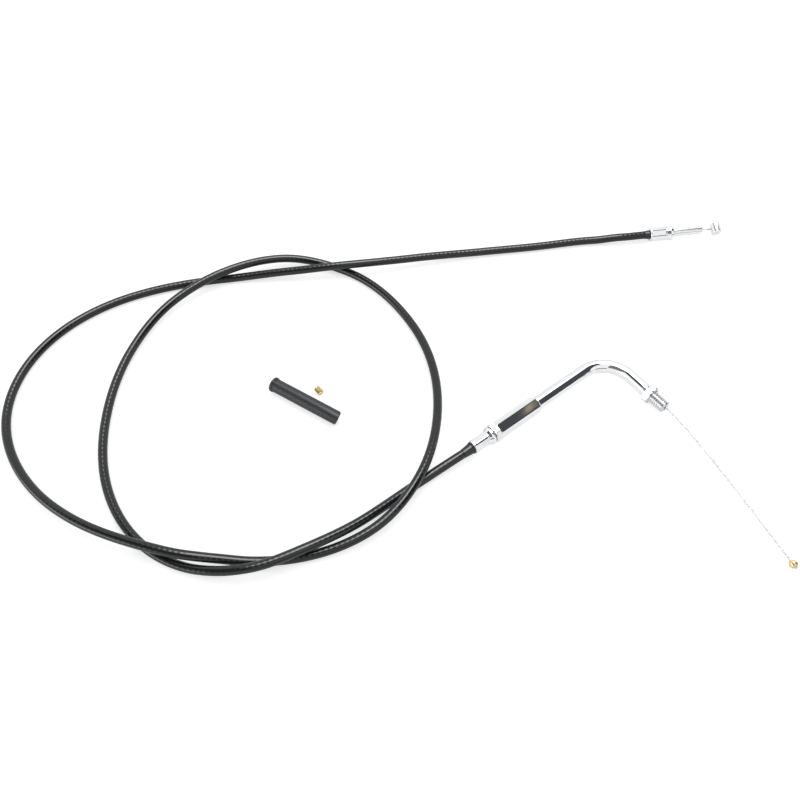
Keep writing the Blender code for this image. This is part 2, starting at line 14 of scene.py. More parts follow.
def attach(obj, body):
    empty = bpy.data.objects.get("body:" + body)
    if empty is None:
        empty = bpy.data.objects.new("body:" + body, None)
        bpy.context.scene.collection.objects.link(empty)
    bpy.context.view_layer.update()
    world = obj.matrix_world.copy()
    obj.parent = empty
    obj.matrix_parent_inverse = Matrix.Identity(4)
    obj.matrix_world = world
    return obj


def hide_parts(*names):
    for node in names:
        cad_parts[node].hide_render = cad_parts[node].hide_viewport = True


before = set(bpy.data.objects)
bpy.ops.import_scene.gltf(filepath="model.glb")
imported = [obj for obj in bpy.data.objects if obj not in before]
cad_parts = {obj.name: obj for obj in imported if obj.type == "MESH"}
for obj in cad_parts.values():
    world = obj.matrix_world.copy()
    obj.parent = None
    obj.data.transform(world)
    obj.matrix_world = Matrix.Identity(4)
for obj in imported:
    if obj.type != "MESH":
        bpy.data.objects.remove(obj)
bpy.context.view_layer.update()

MM = 0.001
SAME_PLACE = 0.001 * MM                # points closer than this are merged
ORIGIN = (72.67 * MM, 52.85 * MM)      # plan points below are measured from the middle of the photo
scene = bpy.context.scene

# Camera
CAMERA_TARGET = (-0.07267, -0.05285, 0.0)
CAMERA_ELEVATION = math.radians(54)
CAMERA_DISTANCE = 0.498
CAMERA_LENS = 37.35
CAMERA_SENSOR = 36.0
CAMERA_NEAR = 0.01

# The cable
JACKET_R = 2.65 * MM
JACKET_RESOLUTION = 8
CONDUIT_PITCH = 3.0 * MM               # turns of the conduit that show through the jacket
WIRE_R = 0.6 * MM
WIRE_RESOLUTION = 10
STRANDS = 6
STRAND_PITCH = 6.5 * MM                # lay of the wire's strands
STRAND_DEPTH = 0.07                    # share of the radius lost between two strands

# The two ends, the leg behind the bend and the loose pieces: points, headings and heights
CARB_MOUTH = (173.2 * MM - ORIGIN[0], 138.1 * MM - ORIGIN[1], 5.0 * MM)
CARB_HEADING = math.radians(7.5)
GRIP_MOUTH = (42.8 * MM - ORIGIN[0], -36.1 * MM - ORIGIN[1], 5.5 * MM)
GRIP_HEADING = math.radians(38)
CORNER_REACH = 107.5 * MM
ELBOW_TURN = math.radians(92.4)
ELBOW_RADIUS = 19.5 * MM
LEG_HEADING = GRIP_HEADING - ELBOW_TURN
BOOT_START = (-76.2 * MM - ORIGIN[0], 8.5 * MM - ORIGIN[1], 4.55 * MM)
BOOT_HEADING = math.radians(-32.2)
SPARE_MIDDLE = (-48.8 * MM - ORIGIN[0], 5.6 * MM - ORIGIN[1], 2.0 * MM)
SPARE_HEADING = math.radians(-48.4)

# Jacket route between the two ends: x and y in mm, and the level (0 on the floor, 1 on top of the other run)
ROUTE = (
    (133.5, 134.5, 0.05), (99.0, 129.5, 0.00), (56.5, 123.0, 0.10), (9.5, 113.5, 0.60),
    (-35.0, 104.5, 1.00), (-75.0, 101.5, 0.50), (-118.0, 97.5, 0.00), (-156.5, 89.0, 0.00),
    (-191.0, 73.0, 0.00), (-216.5, 49.0, 0.00), (-230.5, 18.5, 0.00), (-230.5, -17.0, 0.00),
    (-212.5, -52.5, 0.10), (-174.5, -84.0, 0.65), (-129.5, -101.5, 1.00), (-113.0, -105.0, 0.90),
    (-95.5, -106.0, 0.50), (-76.0, -106.5, 0.10), (-55.5, -104.5, 0.00), (-13.5, -88.5, 0.55),
    (10.5, -59.0, 1.05), (21.5, -18.0, 0.70), (18.5, 29.0, 0.20), (-1.0, 72.0, 0.00),
    (-35.5, 104.5, 0.00), (-80.0, 113.0, 0.60), (-117.0, 97.5, 1.00), (-146.5, 74.5, 0.55),
    (-167.0, 36.0, 0.10), (-172.5, -14.0, 0.00), (-161.0, -64.5, 0.00), (-130.5, -101.0, 0.00),
    (-112.5, -109.5, 0.10), (-95.5, -113.0, 0.50), (-77.5, -112.5, 0.90), (-55.0, -104.5, 1.00),
    (-18.5, -82.5, 0.45), (9.5, -59.5, 0.00),
)
CARB_LEAD = (10.2, -7.0, -21.0)        # stations in mm where the jacket runs straight out of each ferrule
GRIP_LEAD = (-8.0, 7.6)
CURVE_SAMPLES = 4000
ROUTE_SAMPLES = 760
LAY_HEIGHT = 2.7 * MM
LIFT = 6.5 * MM

# Bare wire and its ball
BARE_LENGTH = 109.6 * MM
BARE_STUB = 8.0 * MM                   # length inside the threaded end
BARE_BOW = math.radians(10.8)
BARE_SETTLE = 18.2 * MM                # run in which the bow builds up
BARE_LEAN = 0.3 * MM
BARE_STEPS = 220
BALL_R = 2.3 * MM
BALL_BORE_R = 0.75 * MM
BALL_SINK_R = 1.15 * MM
BALL_SINK_END = 1.4 * MM
BALL_ARC_STEPS = 40
BALL_STUB_R = 0.7 * MM
BALL_STUB_RESOLUTION = 6
BALL_STUB = ((-3.1, 0.8), (-2.9, 1.0), (2.5, 1.0), (2.75, 0.7))    # place in mm, and swelling

# Carburettor end
CARB_SEAL = ((2.7, -0.9), (3.05, -0.9, 0.1), (2.95, -1.6, 0.2), (2.7, -4.0))
CARB_FERRULE = (
    (2.75, -0.8), (4.45, -0.8, 0.1), (4.7, -0.5, 0.1), (4.75, -0.1), (4.75, 0.3), (4.75, 0.7), (4.75, 1.4),
    (4.75, 8.6), (4.75, 9.3), (4.75, 9.7), (4.6, 10.1), (4.15, 10.6, 0.15), (4.6, 12.15), (5.0, 13.5, 0.2),
    (5.0, 15.2, 0.3), (4.3, 15.7, 0.2), (3.1, 15.7), (3.1, 13.4), (2.95, 13.4), (2.95, 0.0), (2.75, 0.0))
CARB_CRIMP_FLATS = 8.6 * MM
CARB_CRIMP_R = 4.6 * MM
CARB_CRIMP_CORNER = math.radians(-25.4)
CARB_CRIMP_SPAN = (0.2 * MM, 10.2 * MM)
CARB_STEM = (
    (1.0, 10.5), (2.65, 10.5), (2.65, 13.1), (2.8, 13.1), (2.8, 36.6, 0.5), (1.15, 36.6, 0.15), (1.0, 36.0))
CARB_WIRE_START = -8.0 * MM
CARB_WIRE_LENGTH = 58.4 * MM
CARB_WIRE_STEPS = 120
NIPPLE = (
    (0.0, 3.6), (2.2, 3.6, 0.2), (2.4, 3.5, 0.1), (3.5, 3.5, 0.5), (3.5, -3.5, 0.5), (2.4, -3.5, 0.1),
    (2.2, -3.6, 0.2), (0.0, -3.6))
NIPPLE_STATION = 47.2 * MM
NIPPLE_TILT = math.radians(-20)
NIPPLE_HOLE_R = 0.9 * MM
NIPPLE_HOLE_LENGTH = 20 * MM
NIPPLE_HOLE_STEPS = 32

# Grip end: ferrule, adjuster, bent tube and threaded end
GRIP_SEAL = (
    (2.7, -2.1), (3.5, -2.1), (3.65, -2.4, 0.15), (3.65, -2.9, 0.2), (3.35, -3.3, 0.25), (3.1, -5.2, 1.0),
    (2.75, -8.6, 0.5), (2.7, -9.0))
GRIP_FERRULE = (
    (2.75, -2.3), (3.95, -2.3, 0.15), (4.25, -1.9, 0.2), (4.3, -1.1, 0.2), (4.4, -0.3, 0.1), (4.4, 0.1),
    (4.4, 0.6), (4.4, 1.3), (4.4, 6.4), (4.4, 7.0), (4.4, 7.4), (4.4, 7.7), (4.2, 8.4, 0.3), (4.55, 9.1, 0.4),
    (5.25, 10.2, 0.5), (5.35, 11.5, 0.3), (5.0, 12.0, 0.15), (2.8, 12.0), (2.8, 10.7), (2.95, 10.7),
    (2.95, 0.0), (2.75, 0.0))
GRIP_CRIMP_FLATS = 7.75 * MM
GRIP_CRIMP_R = 4.2 * MM
GRIP_CRIMP_CORNER = math.radians(-69)
GRIP_CRIMP_SPAN = (-0.4 * MM, 8.0 * MM)
SCREW_R = 2.5 * MM
SCREW_DEPTH = 0.35 * MM
SCREW_PITCH = 0.8 * MM
SCREW_SPAN = (12.1 * MM, 33.9 * MM)
SCREW_SHANK = tuple((2.5, z) for z in np.arange(11.2, 33.8, 0.1))
SCREW = ((1.0, 7.9), (2.65, 7.9), (2.65, 10.4), (2.5, 10.4), *SCREW_SHANK, (2.1, 34.1), (1.0, 34.1))
NUT_FLATS = 11.0 * MM
NUT_CORNER = math.radians(-60)
NUT_CORNER_WEAR = 0.1 * MM             # taken off the points of the hexagon
NUT_FACE_R = 5.35                      # outline values in mm
NUT_BLANK_R = 6.35
NUT_CHAMFER = 0.55
NUT_SUPPORT = 0.65
NUT_SINK = 0.4
SLEEVE_FLATS = 9.525 * MM
SLEEVE_CORNER = math.radians(-98)
SLEEVE_CORNER_WEAR = 0.12 * MM
SLEEVE = (
    (2.8, 16.5), (5.2, 16.5, 0.1), (5.6, 16.8), (5.6, 16.9), (5.6, 46.4), (5.6, 46.5), (4.75, 46.9, 0.1),
    (2.9, 46.9), (2.9, 45.5), (3.7, 45.5), (3.7, 42.6), (2.8, 42.6))
TUBE_START = 47.2 * MM
TUBE_R = 4.05 * MM
TUBE_WALL = 0.8 * MM
TUBE_RESOLUTION = 24
TUBE_FIRST_LEG = (0.0, 0.6, 6.0, 14.0, 26.0, 35.0)                 # mm from the start of the tube
TUBE_SECOND_LEG = ((26.0, 1.0), (30.0, 1.0), (33.2, 1.0), (33.55, 0.97), (33.7, 0.93))   # mm past the corner
BEND_STEPS = 60
THREAD_START = 34.0 * MM
THREAD_END = 48.9 * MM
THREAD_R = 3.9 * MM
THREAD_DEPTH = 0.6 * MM
THREAD_PITCH = 1.49 * MM
THREAD_SPAN = (34.4 * MM, 48.8 * MM)
THREAD_SHANK = tuple((3.9, z) for z in np.arange(34.2, 48.3, 0.12))
FITTING = (
    (1.8, 28.0), (2.95, 28.0), (2.95, 34.0), (3.9, 34.0), *THREAD_SHANK, (3.2, 48.9, 0.15), (2.0, 48.9, 0.1),
    (1.8, 48.5))
CREST_SHARE = 0.15                     # half the crest, as a share of the pitch
FLANK_SHARE = 0.7
GROOVE_LIMIT = 1.3                     # deeper points than this belong to the bore

# Loose pieces
BOOT = (
    (3.15, 0.0), (4.5, 0.0, 0.12), (4.65, 0.25, 0.1), (4.65, 1.5, 0.12), (4.1, 1.8, 0.12), (4.2, 2.6, 0.3),
    (4.2, 20.0), (4.2, 34.0), (4.2, 50.0), (3.15, 50.0), (3.15, 20.0))
BOOT_CUT_STATION = 47.4 * MM
BOOT_CUT_WAY = (0.887, -0.313, -0.335)
BOOT_RIM_R = 3.6 * MM                  # between the bore and the outside
BOOT_RIM_BEVEL = 0.9 * MM
SPARE = ((0.0, 2.3), (1.75, 2.3, 0.2), (2.0, 2.05, 0.1), (2.0, -2.05, 0.1), (1.75, -2.3, 0.2), (0.0, -2.3))
SPARE_SLOT_MIDDLE = (0, -2.1 * MM, 0)
SPARE_SLOT_SIZE = (1.0 * MM, 3.8 * MM, 9 * MM, 1.0)

# Sharpest angle, in degrees, that is shaded as one smooth surface
ROUND_ANGLE = 32
CRIMP_ANGLE = 24
HEXAGON_ANGLE = 20
SWEEP_ANGLE = 60

# Numbers of turning steps
FINE_STEPS = 120
USUAL_STEPS = 96
THREAD_STEPS = 72
SMALL_STEPS = 64
SCREW_STEPS = 48


def axis_frame(point, heading):
    """Local +Z along a level heading, local +X to its right, local +Y down."""
    c = math.cos(heading)
    s = math.sin(heading)
    return Matrix(((s, 0, c, point[0]), (-c, 0, s, point[1]), (0, -1, 0, point[2]), (0, 0, 0, 1)))


carb_end = axis_frame(CARB_MOUTH, CARB_HEADING)
grip_end = axis_frame(GRIP_MOUTH, GRIP_HEADING)
second_leg = axis_frame(grip_end @ Vector((0, 0, CORNER_REACH)), LEG_HEADING)
boot_axis = axis_frame(BOOT_START, BOOT_HEADING)
spare_axis = axis_frame(SPARE_MIDDLE, SPARE_HEADING)

camera_data = bpy.data.cameras.new("camera")
camera_data.lens = CAMERA_LENS
camera_data.sensor_width = CAMERA_SENSOR
camera_data.clip_start = CAMERA_NEAR
camera = bpy.data.objects.new("camera", camera_data)
scene.collection.objects.link(camera)
back = Vector((0, -math.cos(CAMERA_ELEVATION), math.sin(CAMERA_ELEVATION)))
camera.location = Vector(CAMERA_TARGET) + back * CAMERA_DISTANCE
camera.rotation_euler = (math.pi / 2 - CAMERA_ELEVATION, 0, 0)
scene.camera = camera
scene.view_settings.view_transform = "Standard"


def linear(code):
    """Linear colour of an sRGB hex code."""
    parts = [int(code[i:i + 2], 16) / 255 for i in (0, 2, 4)]
    return (*[c / 12.92 if c <= 0.04045 else ((c + 0.055) / 1.055)**2.4 for c in parts], 1.0)


def add(tree, kind, inputs=None, **settings):
    """One node with its settings, and its inputs set or linked."""
    node = tree.nodes.new(kind)
    for key, value in settings.items():
        setattr(node, key, value)
    for key, value in (inputs or {}).items():
        if isinstance(value, bpy.types.NodeSocket):
            tree.links.new(value, node.inputs[key])
        else:
            node.inputs[key].default_value = value
    return node


def new_material(name):
    mat = bpy.data.materials.new(name)
    mat.use_nodes = True
    tree = mat.node_tree
    shader = tree.nodes["Principled BSDF"]
    coords = add(tree, "ShaderNodeTexCoord").outputs["Object"]
    return mat, tree, shader, coords


def noise(tree, coords, scale, detail):
    return add(tree, "ShaderNodeTexNoise", {"Vector": coords, "Scale": scale, "Detail": detail}).outputs["Fac"]


def blend(tree, amount, first, second):
    """Colour between two others."""
    return add(tree, "ShaderNodeMix", {"Factor": amount, "A": first, "B": second},
               data_type="RGBA").outputs["Result"]


def spread(tree, value, low, high, first=0.3, last=0.7):
    """A noise value carried over to the range from low to high."""
    return add(tree, "ShaderNodeMapRange", {
        "Value": value, "From Min": first, "From Max": last, "To Min": low, "To Max": high}).outputs["Result"]


def relief(tree, height, strength, distance):
    return add(tree, "ShaderNodeBump", {
        "Strength": strength, "Distance": distance, "Height": height}).outputs["Normal"]


def calculate(tree, operation, *values):
    return add(tree, "ShaderNodeMath", dict(enumerate(values)), operation=operation).outputs[0]


def dress(tree, shader, tint, rough, normal):
    """Links a surface's colour, roughness and relief."""
    tree.links.new(tint, shader.inputs["Base Color"])
    tree.links.new(rough, shader.inputs["Roughness"])
    tree.links.new(normal, shader.inputs["Normal"])


def plated_metal(name, colour, rough, cloudiness, wave, groove_shade=None):
    """Bright plating: faint cloudy patches and a slow ripple, and painted shade greying the thread grooves, if
    there are any.
    """
    mat, tree, shader, coords = new_material(name)
    cloud = noise(tree, coords, 160.0, 3.0)
    fine = noise(tree, coords, 1500.0, 2.0)
    tint = blend(tree, fine, linear(colour), linear("ffffff"))
    if groove_shade is not None:
        # painted shade: the thread's grooves are greyed by their depth
        depth = add(tree, "ShaderNodeAttribute", attribute_name="groove_shade").outputs["Fac"]
        tint = blend(tree, depth, tint, linear(groove_shade))
    shader.inputs["Metallic"].default_value = 1.0
    dress(tree, shader, tint, spread(tree, cloud, rough, rough + cloudiness),
          relief(tree, cloud, wave, 0.02 * MM))
    return mat


def jacket_vinyl():
    """Extruded black vinyl: a half gloss that breaks into short dashes over the turns of the conduit."""
    mat, tree, shader, coords = new_material("extruded_black_vinyl")
    along = add(tree, "ShaderNodeAttribute", attribute_name="along").outputs["Fac"]
    wave = calculate(tree, "SINE", calculate(tree, "MULTIPLY", along, 2 * math.pi / CONDUIT_PITCH))
    grain = noise(tree, coords, 900.0, 4.0)
    height = calculate(tree, "MULTIPLY_ADD", grain, 0.12, wave)
    dress(tree, shader, blend(tree, grain, linear("131415"), linear("1d1f21")),
          spread(tree, grain, 0.14, 0.21), relief(tree, height, 0.6, 0.03 * MM))
    return mat


def moulded_rubber(name, dark, light, rough, turn, middle):
    """Dull black rubber: a fine grain, with pale lengthwise streaks painted in as sheen."""
    mat, tree, shader, coords = new_material(name)
    local = add(tree, "ShaderNodeMapping", {
        "Vector": coords, "Location": middle, "Rotation": (0, 0, turn)}, vector_type="TEXTURE")
    long = add(tree, "ShaderNodeMapping", {"Vector": local.outputs[0], "Scale": (4.0, 420.0, 420.0)})
    # painted sheen: pale lengthwise streaks along the piece's axis
    sheen_streak = noise(tree, long.outputs[0], 1.0, 3.0)
    grain = noise(tree, coords, 2600.0, 2.0)
    dress(tree, shader, blend(tree, sheen_streak, linear(dark), linear(light)),
          spread(tree, sheen_streak, rough - 0.06, rough + 0.06), relief(tree, grain, 0.06, 0.03 * MM))
    return mat


def worn_metal(name, light, dark, scale, rough):
    """Bare or tarnished metal: two tones in small patches, the darker patches also duller."""
    mat, tree, shader, coords = new_material(name)
    patch = noise(tree, coords, scale, 4.0)
    fade = spread(tree, patch, 0.0, 1.0, 0.4, 0.68)
    shader.inputs["Metallic"].default_value = 1.0
    dress(tree, shader, blend(tree, fade, linear(light), linear(dark)),
          spread(tree, patch, rough, rough + 0.15), relief(tree, patch, 0.2, 0.02 * MM))
    return mat


def liner_plastic():
    """White slippery liner tube: waxy, faintly mottled."""
    mat, tree, shader, coords = new_material("white_liner_plastic")
    mottle = noise(tree, coords, 700.0, 3.0)
    tree.links.new(blend(tree, mottle, linear("e8e6df"), linear("f4f3ee")), shader.inputs["Base Color"])
    shader.inputs["Roughness"].default_value = 0.45
    return mat


# Half-gloss black with a broken highlight
vinyl = jacket_vinyl()
# Nearly a mirror: crisp dark bands and white flats
chrome = plated_metal("chrome_plate", "eceef0", 0.03, 0.05, 0.12)
# Soft silver on the stem and the barrel, its lines blurred
satin_nickel = plated_metal("satin_nickel", "ecedee", 0.22, 0.07, 0.2)
# Bright silver on the nuts and the screw, a little less sharp than the chrome
bright_steel = plated_metal("bright_plated_steel", "e4e6e8", 0.12, 0.08, 0.2)
# Pale silver thread, its grooves greyed by painted shade
zinc = plated_metal("zinc_plated_thread", "dcdfe1", 0.14, 0.08, 0.2, "c9ccce")
# Dull charcoal, with painted sheen streaks along the boot
boot_rubber = moulded_rubber("moulded_black_rubber", "26282b", "34373b", 0.42, BOOT_HEADING, BOOT_START)
# Blacker and smoother rubber where the jacket enters the ferrules, with painted sheen streaks along its length
seal_rubber = moulded_rubber("seal_black_rubber", "1c1d1f", "2b2d30", 0.24, GRIP_HEADING, GRIP_MOUTH)
# Pale grey wire without a sharp shine
strand_steel = worn_metal("stranded_wire_steel", "dddedf", "cdcfd0", 1100.0, 0.6)
# Light yellow metal with browner patches
brass = worn_metal("turned_brass", "f8e6b8", "d9b672", 900.0, 0.24)
# Off-white tube end inside the bent tube
liner_white = liner_plastic()


def finish_piece(name, mesh, body, nodes, mat):
    """A shown piece that rides a body and stands for its CAD nodes."""
    mesh.materials.clear()
    mesh.materials.append(mat)
    piece = bpy.data.objects.new(name, mesh)
    scene.collection.objects.link(piece)
    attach(piece, body)
    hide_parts(*nodes)
    return piece


def smooth(mesh, angle):
    for face in mesh.polygons:
        face.use_smooth = True
    mesh.set_sharp_from_angle(angle=math.radians(angle))


def to_mesh(name, bm, matrix, angle=ROUND_ANGLE):
    """Puts a finished bmesh in its place in the row frame."""
    bmesh.ops.remove_doubles(bm, verts=bm.verts, dist=SAME_PLACE)
    bmesh.ops.recalc_face_normals(bm, faces=bm.faces)
    bmesh.ops.transform(bm, matrix=matrix, verts=bm.verts)
    mesh = bpy.data.meshes.new(name)
    bm.to_mesh(mesh)
    bm.free()
    smooth(mesh, angle)
    return mesh


def rounded(outline):
    """The outline in metres, each rounding drawn as a short arc."""
    points = []
    count = len(outline)
    for k in range(count):
        here = np.array(outline[k][:2])
        fillet = outline[k][2] if len(outline[k]) > 2 else 0.0
        if fillet == 0.0:
            points.append(here)
            continue
        before = np.array(outline[k - 1][:2]) - here
        after = np.array(outline[(k + 1) % count][:2]) - here
        start = here + before / np.linalg.norm(before) * fillet
        end = here + after / np.linalg.norm(after) * fillet
        for t in (0.0, 0.25, 0.5, 0.75, 1.0):
            points.append((1 - t)**2 * start + 2 * t * (1 - t) * here + t * t * end)
    return [(r * MM, z * MM) for r, z in points]


def turned(outline, steps=USUAL_STEPS, closed=True):
    """Half section as (radius, station) turned about local Z."""
    bm = bmesh.new()
    verts = [bm.verts.new((r, 0, z)) for r, z in outline]
    pairs = list(zip(verts, verts[1:] + verts[:1])) if closed else list(zip(verts, verts[1:]))
    edges = [bm.edges.new(pair) for pair in pairs]
    bmesh.ops.spin(bm, geom=verts + edges, cent=(0, 0, 0), axis=(0, 0, 1), angle=2 * math.pi,
                   steps=steps, use_merge=True)
    bmesh.ops.remove_doubles(bm, verts=bm.verts, dist=SAME_PLACE)
    return bm


def press_hexagon(bm, flats, corner_angle, corner_r, span=(-1.0, 1.0)):
    """Moves the metal outside a hexagon in to its flats, between two stations or all along."""
    sixth = math.pi / 3
    for v in bm.verts:
        if not span[0] <= v.co.z <= span[1]:
            continue
        r = math.hypot(v.co.x, v.co.y)
        off = (math.atan2(v.co.y, v.co.x) - corner_angle) % sixth - sixth / 2
        limit = min(flats / 2 / math.cos(off), corner_r)
        if r > limit:
            v.co.x *= limit / r
            v.co.y *= limit / r


def cut_thread(bm, crest_r, depth, pitch, span):
    """Sinks a right-hand helical groove into the outer side between two stations."""
    start, end = span
    for v in bm.verts:
        r = math.hypot(v.co.x, v.co.y)
        if r < crest_r - depth / 2 or not start < v.co.z < end:
            continue
        phase = (v.co.z / pitch - math.atan2(v.co.y, v.co.x) / (2 * math.pi)) % 1.0
        slope = min(max((abs(2 * phase - 1) - CREST_SHARE) / FLANK_SHARE, 0.0), 1.0)
        fade = min(1.0, (v.co.z - start) / pitch)
        scale = (r - depth * slope * fade) / r
        v.co.x *= scale
        v.co.y *= scale


def mark_grooves(mesh, matrix, crest_r, depth, start):
    """Keeps how deep each point lies in the thread's groove as an attribute, which paints shade into the
    grooves.
    """
    to_local = matrix.inverted()
    values = mesh.attributes.new("groove_shade", "FLOAT", "POINT")
    for v, value in zip(mesh.vertices, values.data):
        local = to_local @ v.co
        sunk = (crest_r - math.hypot(local.x, local.y)) / depth
        value.value = min(max(sunk, 0.0), 1.0) if local.z > start and sunk < GROOVE_LIMIT else 0.0


def cut(bm, cutter):
    """The bmesh less the cutter, as a new bmesh."""
    both = []
    for name, source in (("cut_body", bm), ("cut_tool", cutter)):
        bmesh.ops.recalc_face_normals(source, faces=source.faces)
        mesh = bpy.data.meshes.new(name)
        source.to_mesh(mesh)
        source.free()
        both.append(bpy.data.objects.new(name, mesh))
        scene.collection.objects.link(both[-1])
    mod = both[0].modifiers.new("cut", "BOOLEAN")
    mod.operation = "DIFFERENCE"
    mod.solver = "EXACT"
    mod.object = both[1]
    bpy.context.view_layer.update()
    result = bmesh.new()
    result.from_object(both[0], bpy.context.evaluated_depsgraph_get())
    for piece in both:
        bpy.data.objects.remove(piece)
    return result


def distances(points):
    """Distance of each point from the first, along the points."""
    return np.concatenate(([0.0], np.cumsum(np.linalg.norm(np.diff(np.array(points), axis=0), axis=1))))


def ring_sides(resolution):
    """Points round a swept tube of a given bevel resolution."""
    return 2 * resolution + 4


def swept(name, points, radius, resolution, swell=None, caps=False):
    """Tube along points, with each point's own swelling, and its distance kept as an attribute."""
    curve = bpy.data.curves.new(name, "CURVE")
    curve.dimensions = "3D"
    curve.bevel_depth = radius
    curve.bevel_resolution = resolution
    curve.use_fill_caps = caps
    spline = curve.splines.new("POLY")
    spline.points.add(len(points) - 1)
    for k, point in enumerate(points):
        spline.points[k].co = (*point, 1.0)
        spline.points[k].radius = 1.0 if swell is None else swell[k]
    holder = bpy.data.objects.new(name, curve)
    scene.collection.objects.link(holder)
    bpy.context.view_layer.update()
    mesh = bpy.data.meshes.new_from_object(holder.evaluated_get(bpy.context.evaluated_depsgraph_get()))
    mesh.name = name
    bpy.data.objects.remove(holder)
    bpy.data.curves.remove(curve)
    sides = ring_sides(resolution)
    along = distances(points)
    values = mesh.attributes.new("along", "FLOAT", "POINT")
    for k in range(min(len(mesh.vertices), sides * len(points))):
        values.data[k].value = along[k // sides]
    smooth(mesh, SWEEP_ANGLE)
    return mesh


def natural_spline(knots, stations, where):
    """Smooth plan curve through the knots."""
    count = len(knots)
    step = np.diff(stations)
    left = np.eye(count)
    right = np.zeros_like(knots)
    for i in range(1, count - 1):
        left[i, i - 1] = step[i - 1]
        left[i, i] = 2 * (step[i - 1] + step[i])
        left[i, i + 1] = step[i]
        right[i] = 6 * ((knots[i + 1] - knots[i]) / step[i] - (knots[i] - knots[i - 1]) / step[i - 1])
    bend = np.linalg.solve(left, right)
    i = np.clip(np.searchsorted(stations, where) - 1, 0, count - 2)
    h = step[i][:, None]
    a = (stations[i + 1] - where)[:, None] / h
    b = (where - stations[i])[:, None] / h
    return a * knots[i] + b * knots[i + 1] + ((a**3 - a) * bend[i] + (b**3 - b) * bend[i + 1]) * h * h / 6


def level_curve(heights, stations, where):
    """Smooth heights that never pass beyond the given ones."""
    step = np.diff(stations)
    rise = np.diff(heights) / step
    slope = np.zeros_like(heights)
    for k in range(1, len(heights) - 1):
        if rise[k - 1] * rise[k] > 0:
            slope[k] = 2 * rise[k - 1] * rise[k] / (rise[k - 1] + rise[k])
    i = np.clip(np.searchsorted(stations, where) - 1, 0, len(heights) - 2)
    h = step[i]
    a = (where - stations[i]) / h
    start = (1 + 2 * a) * (1 - a)**2 * heights[i] + a * (1 - a)**2 * h * slope[i]
    end = a * a * (3 - 2 * a) * heights[i + 1] + a * a * (a - 1) * h * slope[i + 1]
    return start + end


def jacket_route():
    """Even points along the jacket from the carburettor end to the grip end, and its length."""
    carb = [tuple(carb_end @ Vector((0, 0, u * MM))) for u in CARB_LEAD]
    grip = [tuple(grip_end @ Vector((0, 0, u * MM))) for u in GRIP_LEAD]
    middle = [(x * MM - ORIGIN[0], y * MM - ORIGIN[1], LAY_HEIGHT + level * LIFT) for x, y, level in ROUTE]
    knots = np.array(carb + middle + grip)
    plan = knots[:, :2]
    stations = distances(plan)
    where = np.linspace(0.0, stations[-1], CURVE_SAMPLES)
    path = np.column_stack((natural_spline(plan, stations, where), level_curve(knots[:, 2], stations, where)))
    along = distances(path)
    even = np.linspace(0.0, along[-1], ROUTE_SAMPLES)
    return np.column_stack([np.interp(even, along, path[:, k]) for k in range(3)]), along[-1]


def bare_path():
    """The bare wire out of the fitting, then in a bow to the right and down to the floor."""
    drop = GRIP_MOUTH[2] - BALL_R
    fall = drop / (BARE_LENGTH - BARE_SETTLE * (1 - math.exp(-BARE_LENGTH / BARE_SETTLE)))
    points = [(-BARE_LEAN, 0.0, THREAD_END - BARE_STUB), (-BARE_LEAN, 0.0, THREAD_END)]
    run = BARE_LENGTH / BARE_STEPS
    for k in range(BARE_STEPS):
        level = 1 - math.exp(-(k + 0.5) * run / BARE_SETTLE)
        x, y, z = points[-1]
        turn = BARE_BOW * level
        points.append((x + run * math.sin(turn), y + run * fall * level, z + run * math.cos(turn)))
    return [second_leg @ Vector(p) for p in points]


def strand_wire(name, points):
    """A wire with twisted strands round its outside."""
    mesh = swept(name, points, WIRE_R, WIRE_RESOLUTION)
    sides = ring_sides(WIRE_RESOLUTION)
    along = distances(points)
    for k in range(min(len(mesh.vertices), sides * len(points))):
        ring = k // sides
        middle = Vector(points[ring])
        angle = 2 * math.pi * (k % sides) / sides - 2 * math.pi * along[ring] / STRAND_PITCH
        out = mesh.vertices[k].co - middle
        mesh.vertices[k].co = middle + out * (1 - STRAND_DEPTH * (1 - abs(math.cos(STRANDS * angle / 2))))
    return mesh


# Cords: the jacket with the conduit in it, and the bare wire with its ball
route, route_length = jacket_route()
jacket = finish_piece(
    "jacket", swept("jacket", route, JACKET_R, JACKET_RESOLUTION), "cable_housing",
    ("outer_jacket", "steel_conduit", "conduit_liner", "inner_wire"), vinyl)

bare = bare_path()
bare_wire = finish_piece("bare_wire", strand_wire("bare_wire", bare), "grip_side_wire", ("grip_wire",),
                         strand_steel)

# Brass ball, drilled through for the wire and countersunk for the solder on its far side
ball_middle = bare[-1]
wire_way = (bare[-1] - bare[-3]).normalized()
ball_axis = Matrix.Translation(ball_middle) @ wire_way.to_track_quat("Z", "Y").to_matrix().to_4x4()
bore_rim = math.asin(BALL_BORE_R / BALL_R)
sunk_rim = math.asin(BALL_SINK_R / BALL_R)
arc = [sunk_rim + (math.pi - sunk_rim - bore_rim) * k / BALL_ARC_STEPS for k in range(BALL_ARC_STEPS + 1)]
ball_outline = [(BALL_BORE_R, BALL_SINK_END)] + [(BALL_R * math.sin(a), BALL_R * math.cos(a)) for a in arc]
ball = finish_piece("ball", to_mesh("ball", turned(ball_outline, SMALL_STEPS), ball_axis),
                    "grip_side_wire", ("ball_end",), brass)
ball_stub_mesh = swept(
    "ball_wire_end", [ball_middle + wire_way * (place * MM) for place, swell in BALL_STUB], BALL_STUB_R,
    BALL_STUB_RESOLUTION, [swell for place, swell in BALL_STUB], True)
ball_stub = finish_piece("ball_wire_end", ball_stub_mesh, "grip_side_wire", ("grip_wire",),
                         strand_steel)

# Carburettor end: seal, crimped ferrule with its seat shoulder, stem, wire and barrel nipple
finish_piece("carb_seal", to_mesh("carb_seal", turned(rounded(CARB_SEAL)), carb_end), "cable_housing",
             ("carb_end_seal",), seal_rubber)

